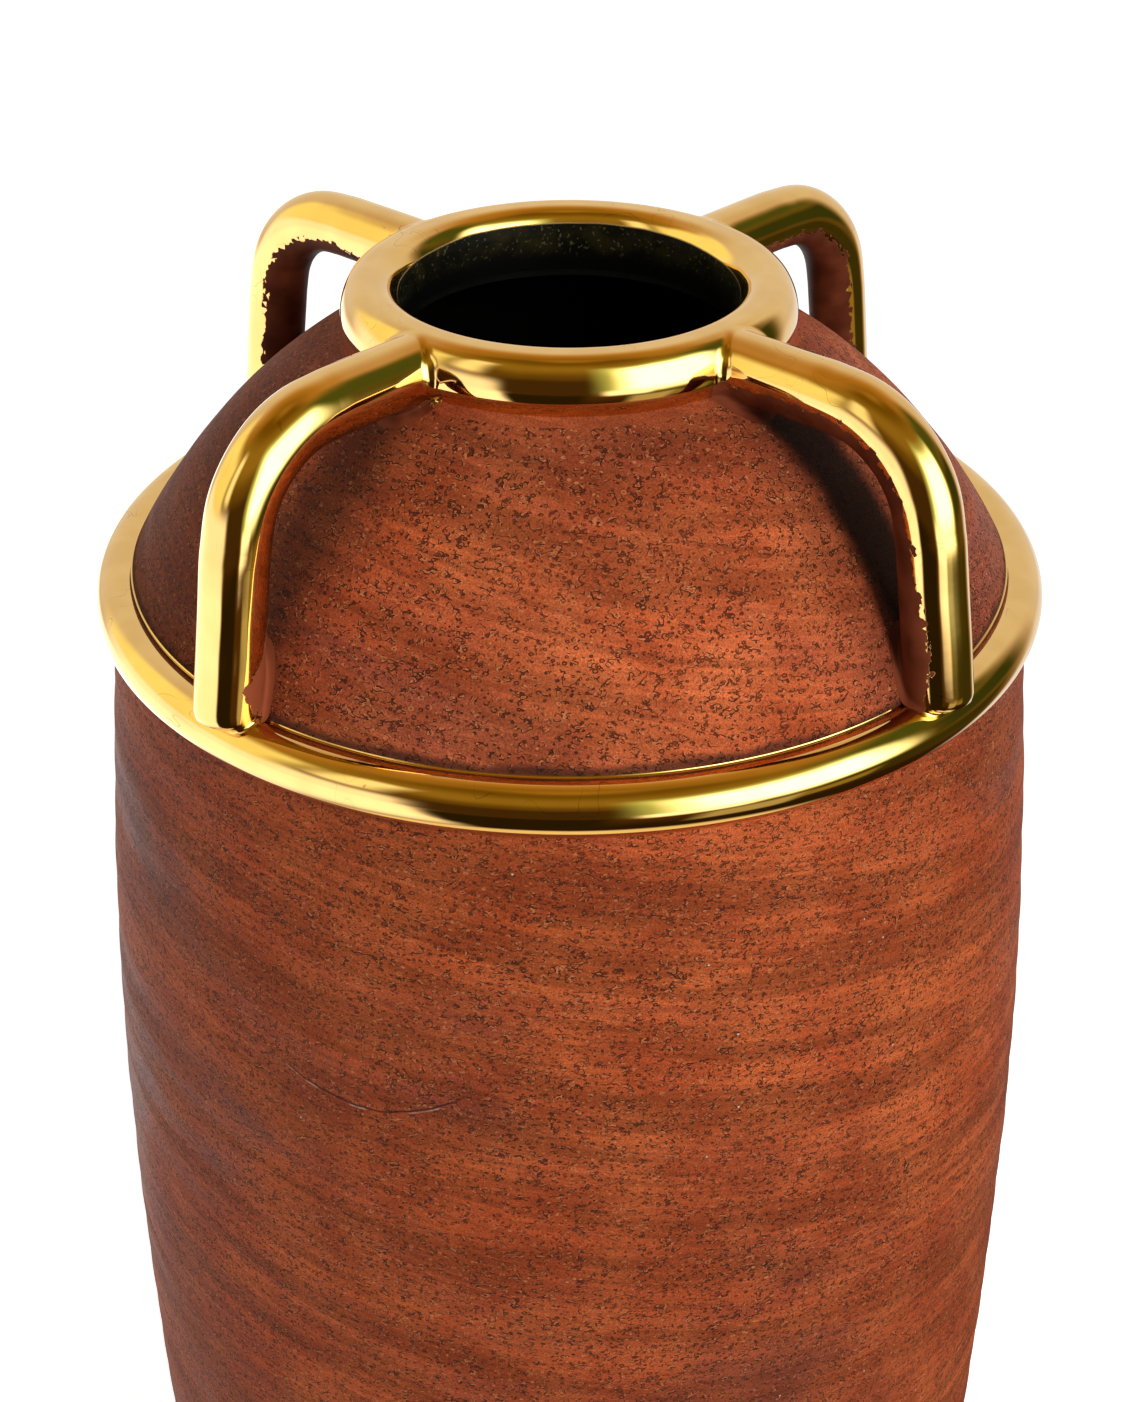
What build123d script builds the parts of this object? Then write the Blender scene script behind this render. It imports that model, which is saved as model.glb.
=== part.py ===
# Four-handled terracotta hydria jar with gilded coils.
#
# The jar is thrown in sections and luted together: a slab floor on a foot ring,
# two wall sections that meet at the belly, a domed shoulder and a short collar.
# A round coil makes the lip, another runs round the shoulder, and four bent
# coils stand between them as handles.
#
# Millimetres, +Z up. The origin is the centre of the foot, on the floor.
# The handles stand on +X, +Y, -X and -Y.

import os
from math import sqrt

from build123d import *

os.makedirs("parts", exist_ok=True)

# Overall form
# Drops are measured down from the centre of the lip coil, and the knee's from
# the belly. Insets are measured in from the belly's radius.
jar_height = 700.0
belly_drop = 320.0
belly_radius = 159.4
knee_drop = 160.0
knee_inset = 3.5
base_inset = 65.4
shoulder_drop = 97.4
shoulder_inset = 13.9
dome_bulge = 9.8
wall = 8.5

# Foot and floor
foot_height = 8.0
foot_width = 15.0
foot_inset = 3.0
foot_edge_radius = 2.5
floor_thickness = 10.0

# Tongue and groove where two sections are luted
tongue_depth = 3.0
tongue_width = 4.0

# Lip and collar
lip_coil_radius = 7.9
lip_ring_radius = 61.5
lip_spread = 2.3
lip_seat_drop = 5.5
collar_height = 4.7
collar_ledge = 0.8

# Coil round the shoulder, with its clay smeared up onto the dome
ring_coil_radius = 8.2
ring_drop = 90.6
ring_smear = 2.6

# Handles
handle_coil_radius = 9.9
handle_step_below_lip = 0.6
handle_corner_inset = 11.2
handle_bend_radius = 35.0
handle_foot_outset = 1.6
handle_foot_bite = 2.2
handle_foot_rounding = 3.0

# One overrun serves every cut
overrun = 30.0

# Heights and radii that follow from the sizes above
floor_top = foot_height + floor_thickness
lip_height = jar_height - lip_coil_radius
lip_seat_height = lip_height - lip_seat_drop
neck_height = lip_seat_height - collar_height
lip_inner_radius = lip_ring_radius - lip_spread
mouth_radius = lip_inner_radius - lip_coil_radius
collar_radius = lip_ring_radius + sqrt(lip_coil_radius**2 - lip_seat_drop**2)
base_radius = belly_radius - base_inset
foot_radius = base_radius - foot_inset
belly_height = lip_height - belly_drop
shoulder_radius = belly_radius - shoulder_inset
shoulder_height = lip_height - shoulder_drop

# The outline
# Points are (radius, height). Four arcs run up the outside of the whole jar:
# foot to knee, knee to belly, belly to shoulder, and over the dome.
base_point = (base_radius, foot_height)
knee_point = (belly_radius - knee_inset, belly_height - knee_drop)
belly_point = (belly_radius, belly_height)
shoulder_point = (shoulder_radius, shoulder_height)
neck_point = (collar_radius + collar_ledge, neck_height)

with BuildLine() as outline:
    upper_arc = TangentArc(belly_point, shoulder_point, tangent=(0, 1))
    lower_arc = TangentArc(belly_point, knee_point, tangent=(0, -1))
    foot_arc = TangentArc(knee_point, base_point, tangent=lower_arc % 1)
    dome_arc = SagittaArc(shoulder_point, neck_point, -dome_bulge)


def outline_radius(arc, height):
    """The outline's radius at a height on one of its arcs."""
    rise = height - arc.arc_center.Y
    return arc.arc_center.X + sqrt(arc.radius**2 - rise**2)


def a_wall_inside(arc, share):
    """The point that lies one wall inside the arc, at a share of its length."""
    outside = arc @ share
    return outside + (arc.arc_center - outside).normalized() * wall


def inner_arc(arc):
    return ThreePointArc(*[a_wall_inside(arc, share) for share in (0, 0.5, 1)])


def ring_between(arc):
    """The section between an arc's whole circle and the circle a wall inside it."""
    with BuildSketch() as section:
        with Locations(arc.arc_center):
            Circle(arc.radius)
            Circle(arc.radius - wall, mode=Mode.SUBTRACT)
    return section.sketch


def seam(height, outer_radius):
    """The line of a luted seam from outside to inside, with its tongue."""
    middle = outer_radius - wall / 2
    return [
        (outer_radius + overrun, height),
        (middle + tongue_width / 2, height),
        (middle, height - tongue_depth),
        (middle - tongue_width / 2, height),
        (mouth_radius, height),
    ]


def band(top, bottom):
    """The face between two seam lines."""
    with BuildSketch() as face:
        with BuildLine():
            Polyline(*top, *reversed(bottom), close=True)
        make_face()
    return face.sketch


def save(piece, name):
    piece.label = name
    export_step(piece, f"parts/{name}.step")


# Where the sections meet
floor_radius = outline_radius(foot_arc, floor_top)
floor_seam = seam(floor_top, floor_radius)
belly_seam = seam(belly_height, belly_radius)
shoulder_seam = seam(shoulder_height, shoulder_radius)
neck_edge = [(shoulder_radius + overrun, neck_height), (mouth_radius, neck_height)]

# Foot ring
# A coil turned square under the slab, with both lower arrises rubbed round.
with BuildPart() as foot_ring:
    with BuildSketch(Plane.XY):
        Circle(foot_radius)
        Circle(foot_radius - foot_width, mode=Mode.SUBTRACT)
    extrude(amount=foot_height)
    fillet(foot_ring.edges().group_by(Axis.Z)[0], radius=foot_edge_radius)
save(foot_ring.part, "foot_ring")

# Base slab
# Its rim carries on the jar's outline, and its top has the groove for the wall.
rim_middle = foot_height + floor_thickness / 2
rim_point = (outline_radius(foot_arc, rim_middle), rim_middle)
with BuildSketch() as slab_section:
    with BuildLine():
        ThreePointArc(base_point, rim_point, (floor_radius, floor_top))
        Polyline(
            (floor_radius, floor_top),
            *floor_seam[1:-1],
            (0, floor_top),
            (0, foot_height),
            base_point,
        )
    make_face()
with BuildPart() as base_slab:
    with BuildSketch(Plane.XZ):
        add(slab_section.sketch)
    revolve(axis=Axis.Z)
save(base_slab.part, "base_slab")

# Lower wall, from the slab to the belly
with BuildSketch() as lower_section:
    with BuildLine():
        add(lower_arc)
        add(foot_arc)
        inside_lower = inner_arc(lower_arc)
        inside_foot = inner_arc(foot_arc)
        Line(lower_arc @ 0, inside_lower @ 0)
        Line(foot_arc @ 1, inside_foot @ 1)
    make_face()
    add(band(belly_seam, floor_seam), mode=Mode.INTERSECT)
with BuildPart() as lower_wall:
    with BuildSketch(Plane.XZ):
        add(lower_section.sketch)
    revolve(axis=Axis.Z)
save(lower_wall.part, "lower_wall")

# Upper wall, from the belly to the shoulder
with BuildSketch() as upper_section:
    add(ring_between(upper_arc))
    add(band(shoulder_seam, belly_seam), mode=Mode.INTERSECT)
with BuildPart() as upper_wall:
    with BuildSketch(Plane.XZ):
        add(upper_section.sketch)
    revolve(axis=Axis.Z)
save(upper_wall.part, "upper_wall")

# Shoulder dome, closed in to the width of the mouth
with BuildSketch() as dome_section:
    add(ring_between(dome_arc))
    add(band(neck_edge, shoulder_seam), mode=Mode.INTERSECT)
with BuildPart() as shoulder_dome:
    with BuildSketch(Plane.XZ):
        add(dome_section.sketch)
    revolve(axis=Axis.Z)
save(shoulder_dome.part, "shoulder_dome")

# Neck collar between the dome and the lip
with BuildPart() as neck_collar:
    with BuildSketch(Plane.XY.offset(neck_height)):
        Circle(collar_radius)
        Circle(mouth_radius, mode=Mode.SUBTRACT)
    extrude(amount=collar_height)
save(neck_collar.part, "neck_collar")

# Lip ring
# A round coil pressed onto the collar, so that it has spread inwards a little.
# Its inside is wiped straight down.
with BuildSketch() as lip_section:
    with Locations((lip_ring_radius, lip_height), (lip_inner_radius, lip_height)):
        Circle(lip_coil_radius)
    with Locations((lip_ring_radius, lip_height)):
        Rectangle(lip_spread, 2 * lip_coil_radius, align=(Align.MAX, Align.CENTER))
    with Locations((mouth_radius, lip_height)):
        Rectangle(lip_coil_radius, lip_coil_radius, align=(Align.MIN, Align.MAX))
    with Locations((mouth_radius, lip_seat_height)):
        Rectangle(overrun, overrun, align=(Align.MIN, Align.MAX), mode=Mode.SUBTRACT)
with BuildPart() as lip_ring:
    with BuildSketch(Plane.XZ):
        add(lip_section.sketch)
    revolve(axis=Axis.Z)
save(lip_ring.part, "lip_ring")

# Shoulder ring
# A round coil centred on the outline of the dome, so that half of it stands out.
# Its clay is smeared up onto the dome in a hollow fillet, and its back is pressed
# to the shape of the dome and the wall.
ring_height = lip_height - ring_drop
ring_radius = outline_radius(dome_arc, ring_height)
with BuildSketch() as jar_section:
    with BuildLine():
        add(dome_arc)
        add(upper_arc)
        Polyline(dome_arc @ 1, (0, neck_height), (0, belly_height), belly_point)
    make_face()
with BuildSketch() as ring_section:
    with Locations((ring_radius, ring_height)):
        Circle(ring_coil_radius)
    add(jar_section.sketch)
    ring_top = Vector(ring_radius, ring_height + ring_coil_radius)
    hollow = ring_section.vertices().sort_by_distance(ring_top)[0]
    fillet(hollow, radius=ring_smear)
    add(jar_section.sketch, mode=Mode.SUBTRACT)
with BuildPart() as shoulder_ring:
    with BuildSketch(Plane.XZ):
        add(ring_section.sketch)
    revolve(axis=Axis.Z)
save(shoulder_ring.part, "shoulder_ring")

# Handles
# One bent coil runs level from the lip, turns down and leans out to the ring.
# Each end is pressed to the shape of what it is luted to.
handle_height = jar_height - handle_step_below_lip - handle_coil_radius
handle_corner_radius = ring_radius - handle_corner_inset
handle_foot_height = ring_height + ring_coil_radius - handle_foot_bite
with BuildPart() as handle_form:
    with BuildLine(Plane.XZ) as handle_line:
        FilletPolyline(
            (lip_ring_radius, handle_height),
            (handle_corner_radius, handle_height),
            (ring_radius + handle_foot_outset, handle_foot_height),
            radius=handle_bend_radius,
        )
    with BuildSketch(Plane(origin=handle_line.line @ 0, z_dir=handle_line.line % 0)):
        Circle(handle_coil_radius)
    sweep()
    foot_edge = handle_form.edges().filter_by(GeomType.CIRCLE).group_by(Axis.Z)[0]
    fillet(foot_edge, radius=handle_foot_rounding)
    add(lip_ring.part, mode=Mode.SUBTRACT)
    add(neck_collar.part, mode=Mode.SUBTRACT)
    add(shoulder_dome.part, mode=Mode.SUBTRACT)
    add(shoulder_ring.part, mode=Mode.SUBTRACT)

handle_turns = {"handle_right": 0, "handle_back": 90, "handle_left": 180, "handle_front": 270}
for name, turn in handle_turns.items():
    with BuildPart() as handle:
        add(handle_form.part, rotation=(0, 0, turn))
    save(handle.part, name)
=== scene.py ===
# Hydria jar: turned terracotta with gilded coils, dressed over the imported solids.
#
# The pieces are worked out in millimetres, because the potter's sizes are, and
# become metres when their meshes are made. They use the frame of the solids.

import math

import bmesh
import bpy
import numpy as np
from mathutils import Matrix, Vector


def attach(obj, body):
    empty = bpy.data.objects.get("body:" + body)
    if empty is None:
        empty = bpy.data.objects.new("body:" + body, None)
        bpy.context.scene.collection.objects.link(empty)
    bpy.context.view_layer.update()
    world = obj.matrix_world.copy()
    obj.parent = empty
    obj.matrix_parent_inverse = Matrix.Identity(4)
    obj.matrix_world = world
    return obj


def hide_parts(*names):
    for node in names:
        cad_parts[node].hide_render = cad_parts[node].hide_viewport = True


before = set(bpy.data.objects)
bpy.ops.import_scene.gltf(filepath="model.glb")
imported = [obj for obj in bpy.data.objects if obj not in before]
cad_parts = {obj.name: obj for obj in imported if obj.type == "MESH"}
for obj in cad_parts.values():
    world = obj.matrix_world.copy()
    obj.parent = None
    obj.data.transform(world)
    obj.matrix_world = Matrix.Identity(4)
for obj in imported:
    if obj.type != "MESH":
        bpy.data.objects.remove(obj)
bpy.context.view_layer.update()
MM = 0.001


# ---------------------------------------------------------------- jar sizes
# The same sizes as the solids.
LIP_Z = 692.1
LIP_RING = 61.5
LIP_COIL = 7.9
LIP_SPREAD = 2.3
MOUTH = LIP_RING - LIP_SPREAD - LIP_COIL
SEAT_Z = LIP_Z - 5.5
NECK_Z = SEAT_Z - 4.7
COLLAR = 67.17
WALL = 8.5
BELLY_Z = LIP_Z - 320.0
BELLY = 159.4
KNEE_Z = BELLY_Z - 160.0
KNEE = BELLY - 3.5
SHOULDER_Z = LIP_Z - 97.4
SHOULDER = BELLY - 13.9
BASE_Z = 8.0
BASE = 94.0
FLOOR_Z = 18.0
RING_Z = LIP_Z - 90.6
RING_COIL = 8.2
HANDLE = 9.9
HANDLE_Z = 700.0 - 0.6 - HANDLE
BEND = 35.0


def unit(v):
    return np.asarray(v, float) / np.linalg.norm(v)


def arc_centre(start, end, rise):
    """Centre and radius of the arc that rises outwards over the chord."""
    start, end = np.array(start), np.array(end)
    chord = end - start
    length = np.linalg.norm(chord)
    radius = (length**2 / 4 + rise**2) / (2 * rise)
    out = np.array([-chord[1], chord[0]]) / length
    if out[0] < 0:
        out = -out
    return (start + end) / 2 - out * (radius - rise), radius


DOME_C, DOME_R = arc_centre((SHOULDER, SHOULDER_Z), (COLLAR + 0.8, NECK_Z), 9.8)
UPPER_R = (13.9**2 + (SHOULDER_Z - BELLY_Z) ** 2) / (2 * 13.9)
UPPER_C = np.array([BELLY - UPPER_R, BELLY_Z])
LOWER_R = (3.5**2 + 160.0**2) / (2 * 3.5)
LOWER_C = np.array([BELLY - LOWER_R, BELLY_Z])
_knee = np.array([KNEE, KNEE_Z])
_in = (LOWER_C - _knee) / LOWER_R
_down = np.array([BASE, BASE_Z]) - _knee
FOOT_R = float(_down @ _down / (2 * _down @ _in))
FOOT_C = _knee + FOOT_R * _in


def circle_radius(centre, radius, z):
    return centre[0] + np.sqrt(radius**2 - (np.asarray(z) - centre[1]) ** 2)


RING = float(circle_radius(DOME_C, DOME_R, RING_Z))


def along(centre, radius, z0, z1, step=2.0):
    """Points (radius, height) on an arc of the outline between two heights."""
    a0 = math.asin((z0 - centre[1]) / radius)
    a1 = math.asin((z1 - centre[1]) / radius)
    n = max(2, int(abs(a1 - a0) * radius / step) + 1)
    a = np.linspace(a0, a1, n)
    return np.stack([centre[0] + radius * np.cos(a), centre[1] + radius * np.sin(a)], 1)


def inside_of(points, centre, depth=WALL):
    """The same points moved in by the wall."""
    away = points - centre
    return points - away / np.linalg.norm(away, axis=1)[:, None] * depth


# ---------------------------------------------------------------- distances
def to_circle(rho, z, centre, radius):
    return np.hypot(rho - centre[0], z - centre[1]) - radius


def blended(a, b, k):
    """Distance to two shapes joined with a soft hollow of size k."""
    h = np.clip(k - np.abs(a - b), 0, None) / k
    return np.minimum(a, b) - h * h * k / 4


def to_clay(rho, z):
    """Distance to the dome, and below it to the wall."""
    dome = to_circle(rho, z, DOME_C, DOME_R)
    wall = to_circle(rho, z, UPPER_C, UPPER_R)
    return np.where(z > SHOULDER_Z, dome, np.minimum(dome + 5.0, wall))


def lip_face():
    """The lip's outer face: a coil whose front is pressed flatter and hangs lower."""
    at, points = np.array([LIP_RING, LIP_Z + LIP_COIL]), []
    for start, end, radius in ((90, 32, 6.7), (32, 5, 15.0), (5, -55, 10.0)):
        for turn in np.radians(np.linspace(start, end, 25)[:-1] + (end - start) / 48):
            points.append(at)
            at = at + np.array([math.sin(turn), -math.cos(turn)]) * radius * math.radians(start - end) / 24
    return np.array([*points, at])[::-1]


LIP_FACE = lip_face()
LIP_ANGLES = np.arctan2(LIP_FACE[:, 1] - LIP_Z, LIP_FACE[:, 0] - LIP_RING)
LIP_RADII = np.hypot(LIP_FACE[:, 0] - LIP_RING, LIP_FACE[:, 1] - LIP_Z)


def to_lip(rho, z):
    """Distance to the lip coil on its collar, with the dome below."""
    angle = np.arctan2(z - LIP_Z, rho - LIP_RING)
    coil = np.hypot(rho - LIP_RING, z - LIP_Z) - np.interp(angle, LIP_ANGLES, LIP_RADII)
    collar = np.maximum(rho - COLLAR + 0.9, np.maximum(z - SEAT_Z - 1.0, NECK_Z - 2.0 - z))
    low = blended(collar, to_circle(rho, z, DOME_C, DOME_R), 2.4)
    return np.minimum(coil, low)


def to_ring(rho, z):
    """Distance to the shoulder coil with its clay smeared up onto the dome."""
    coil = to_circle(rho, z, (RING, RING_Z), RING_COIL)
    return blended(coil, to_clay(rho, z), 3.4)


# ---------------------------------------------------------------- mesh helpers
def mesh_object(name, verts, faces, attributes=None):
    mesh = bpy.data.meshes.new(name)
    mesh.from_pydata([tuple(v) for v in np.asarray(verts) * MM], [], faces)
    for key, values in (attributes or {}).items():
        layer = mesh.attributes.new(key, "FLOAT", "POINT")
        layer.data.foreach_set("value", np.asarray(values, np.float32))
    obj = bpy.data.objects.new(name, mesh)
    bpy.context.scene.collection.objects.link(obj)
    return obj


def tidy(obj, sharp=40.0):
    """Merges doubles, turns the faces outwards and shades the piece smooth."""
    bm = bmesh.new()
    bm.from_mesh(obj.data)
    bmesh.ops.remove_doubles(bm, verts=bm.verts, dist=1e-6)
    bmesh.ops.dissolve_degenerate(bm, dist=1e-7, edges=bm.edges)
    bmesh.ops.recalc_face_normals(bm, faces=bm.faces)
    bm.to_mesh(obj.data)
    bm.free()
    obj.data.shade_smooth()
    obj.data.set_sharp_from_angle(angle=math.radians(sharp))
    return obj


def wobble(p, size, seed):
    """Smooth waves in [-1, 1] over points in millimetres."""
    total = np.zeros(len(p))
    pick = np.random.default_rng(seed)
    for i in range(6):
        d = unit(pick.normal(size=3)) * 2 * math.pi / (size * (0.7 + 0.25 * i))
        total += np.sin(p @ d + pick.uniform(0, 6.28))
    return total / 6


# ---------------------------------------------------------------- wheel tree
def wheel_tree():
    """Turns a profile round the jar's axis, as on the wheel."""
    tree = bpy.data.node_groups.new("wheel", "GeometryNodeTree")
    face = tree.interface
    face.new_socket("Profile", in_out="INPUT", socket_type="NodeSocketGeometry")
    steps = face.new_socket("Steps Round", in_out="INPUT", socket_type="NodeSocketInt")
    reach = face.new_socket("Wheel Radius", in_out="INPUT", socket_type="NodeSocketFloat")
    finish = face.new_socket("Finish", in_out="INPUT", socket_type="NodeSocketMaterial")
    face.new_socket("Piece", in_out="OUTPUT", socket_type="NodeSocketGeometry")
    steps.default_value, reach.default_value = 256, 0.1
    nodes, links = tree.nodes, tree.links
    gin = nodes.new("NodeGroupInput")
    gout = nodes.new("NodeGroupOutput")
    profile = nodes.new("GeometryNodeMeshToCurve")
    ring = nodes.new("GeometryNodeCurvePrimitiveCircle")
    upright = nodes.new("GeometryNodeSetCurveNormal")
    upright.mode = "Z_UP"
    turn = nodes.new("GeometryNodeCurveToMesh")
    merge = nodes.new("GeometryNodeMergeByDistance")
    merge.inputs["Distance"].default_value = 1e-6
    real = nodes.new("GeometryNodeRealizeInstances")
    paint = nodes.new("GeometryNodeSetMaterial")
    links.new(gin.outputs["Profile"], profile.inputs["Mesh"])
    links.new(gin.outputs["Steps Round"], ring.inputs["Resolution"])
    links.new(gin.outputs["Wheel Radius"], ring.inputs["Radius"])
    links.new(ring.outputs["Curve"], upright.inputs["Curve"])
    links.new(upright.outputs["Curve"], turn.inputs["Curve"])
    links.new(profile.outputs["Curve"], turn.inputs["Profile Curve"])
    links.new(turn.outputs["Mesh"], merge.inputs["Geometry"])
    links.new(merge.outputs["Geometry"], real.inputs["Geometry"])
    links.new(real.outputs["Geometry"], paint.inputs["Geometry"])
    links.new(gin.outputs["Finish"], paint.inputs["Material"])
    links.new(paint.outputs["Geometry"], gout.inputs["Piece"])
    return tree, {"steps": steps.identifier, "reach": reach.identifier, "finish": finish.identifier}


WHEEL, WHEEL_IN = wheel_tree()
WHEEL_REACH = 100.0


def turned(name, profile, material, steps=384, attributes=None, open_at_axis=False):
    """A closed ring or disc turned from a profile of (radius, height) points."""
    points = np.asarray(profile, float)
    flat = np.stack([points[:, 0] - WHEEL_REACH, -points[:, 1], np.zeros(len(points))], 1)
    n = len(points)
    mesh = bpy.data.meshes.new(name)
    edges = [(i, (i + 1) % n) for i in range(n if not open_at_axis else n - 1)]
    mesh.from_pydata([tuple(p) for p in flat * MM], edges, [])
    for key, values in (attributes or {}).items():
        layer = mesh.attributes.new(key, "FLOAT", "POINT")
        layer.data.foreach_set("value", np.asarray(values, np.float32))
    maker = bpy.data.objects.new(name + "_profile", mesh)
    bpy.context.scene.collection.objects.link(maker)
    wheel = maker.modifiers.new("wheel", "NODES")
    wheel.node_group = WHEEL
    wheel[WHEEL_IN["steps"]] = steps
    wheel[WHEEL_IN["reach"]] = WHEEL_REACH * MM
    wheel[WHEEL_IN["finish"]] = material
    bpy.context.view_layer.update()
    view = bpy.context.evaluated_depsgraph_get()
    made = bpy.data.meshes.new_from_object(maker.evaluated_get(view))
    maker.modifiers.remove(wheel)
    bpy.data.objects.remove(maker)
    obj = bpy.data.objects.new(name, made)
    bpy.context.scene.collection.objects.link(obj)
    return tidy(obj)


def shape_points(obj, move):
    """Moves every point of a mesh by a function of its place in millimetres."""
    mesh = obj.data
    co = np.empty(len(mesh.vertices) * 3, np.float32)
    mesh.vertices.foreach_get("co", co)
    p = co.reshape(-1, 3).astype(float) / MM
    mesh.vertices.foreach_set("co", (move(p) * MM).astype(np.float32).ravel())
    mesh.update()


def outline_at(z):
    """The radius of the jar's outline at a height."""
    z = np.asarray(z, float)
    dome = circle_radius(DOME_C, DOME_R, np.clip(z, SHOULDER_Z, NECK_Z))
    upper = circle_radius(UPPER_C, UPPER_R, np.clip(z, BELLY_Z, SHOULDER_Z))
    lower = circle_radius(LOWER_C, LOWER_R, np.clip(z, KNEE_Z, BELLY_Z))
    foot = circle_radius(FOOT_C, FOOT_R, np.clip(z, BASE_Z, KNEE_Z))
    return np.select([z > SHOULDER_Z, z > BELLY_Z, z > KNEE_Z], [dome, upper, lower], foot)


def throwing(p):
    """Soft unevenness of the thrown wall's outside, only ever inwards."""
    rho = np.hypot(p[:, 0], p[:, 1])
    z = p[:, 2]
    angle = np.arctan2(p[:, 1], p[:, 0])
    rings = 0.10 * np.sin(z / 2.9 + 0.7 * np.sin(angle)) + 0.09 * np.sin(z / 7.3 + angle)
    waves = 0.30 * wobble(p, 95.0, 4)
    hold = np.clip((z - 20.0) / 60.0, 0, 1) * np.clip(np.abs(z - RING_Z) / 22.0 - 0.5, 0, 1)
    hold = hold * np.clip((LIP_Z - 22.0 - z) / 16.0, 0, 1) * np.clip((rho - 100.0) / 20.0, 0, 1)
    hold = hold * (rho > outline_at(z) - WALL / 2)
    depth = (0.5 + waves + rings) * hold
    out = p.copy()
    out[:, :2] *= ((rho - np.clip(depth, 0, 1.2)) / np.maximum(rho, 1e-6))[:, None]
    return out


# ---------------------------------------------------------------- node helpers
class Nodes:
    """Short calls for a shader tree."""

    def __init__(self, tree):
        self.tree = tree

    def new(self, kind, **inputs):
        node = self.tree.nodes.new(kind)
        for key, value in inputs.items():
            self.feed(node, key.replace("_", " "), value)
        return node

    def feed(self, node, key, value):
        socket = node.inputs[key] if not isinstance(key, int) else node.inputs[key]
        if isinstance(value, bpy.types.NodeSocket):
            self.tree.links.new(value, socket)
        else:
            socket.default_value = value

    def math(self, how, *values, clamp=False):
        node = self.tree.nodes.new("ShaderNodeMath")
        node.operation = how
        node.use_clamp = clamp
        for i, value in enumerate(values):
            self.feed(node, i, value)
        return node.outputs[0]

    def ramp(self, value, low, high, out_low=0.0, out_high=1.0, smooth=True):
        node = self.tree.nodes.new("ShaderNodeMapRange")
        node.interpolation_type = "SMOOTHSTEP" if smooth else "LINEAR"
        for key, v in (("Value", value), ("From Min", low), ("From Max", high), ("To Min", out_low), ("To Max", out_high)):
            self.feed(node, key, v)
        return node.outputs["Result"]

    def mix(self, fac, a, b, how="MIX"):
        node = self.tree.nodes.new("ShaderNodeMix")
        node.data_type = "RGBA"
        node.blend_type = how
        node.clamp_factor = True
        for socket, v in ((node.inputs[0], fac), (node.inputs[6], a), (node.inputs[7], b)):
            if isinstance(v, bpy.types.NodeSocket):
                self.tree.links.new(v, socket)
            elif isinstance(v, (int, float)):
                socket.default_value = v
            else:
                socket.default_value = (*v, 1.0)
        return node.outputs[2]

    def noise(self, vector, scale, detail=2.0, rough=0.5, distortion=0.0, lac=2.0):
        node = self.new("ShaderNodeTexNoise", Vector=vector, Scale=scale, Detail=detail, Roughness=rough, Distortion=distortion, Lacunarity=lac)
        return node.outputs["Fac"]

    def stretch(self, vector, scale, turn=(0, 0, 0)):
        node = self.new("ShaderNodeMapping", Vector=vector, Scale=scale, Rotation=turn)
        return node.outputs["Vector"]


def group(name, ins, outs):
    """A shader node group with named sockets, and a helper for what is in it."""
    tree = bpy.data.node_groups.new(name, "ShaderNodeTree")
    for key, kind, value in ins:
        socket = tree.interface.new_socket(key, in_out="INPUT", socket_type=kind)
        if value is not None:
            socket.default_value = value
    for key, kind in outs:
        tree.interface.new_socket(key, in_out="OUTPUT", socket_type=kind)
    gin, gout = tree.nodes.new("NodeGroupInput"), tree.nodes.new("NodeGroupOutput")
    return tree, Nodes(tree), gin.outputs, gout.inputs


def place(n, tree, **inputs):
    """Puts a group into a material with its own values."""
    node = n.tree.nodes.new("ShaderNodeGroup")
    node.node_tree = tree
    for key, value in inputs.items():
        n.feed(node, key.replace("_", " "), value)
    return node.outputs


def material(name):
    mat = bpy.data.materials.new(name)
    mat.use_nodes = True
    n = Nodes(mat.node_tree)
    return mat, n, mat.node_tree.nodes["Principled BSDF"]


F, V, C = "NodeSocketFloat", "NodeSocketVector", "NodeSocketColor"


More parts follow.
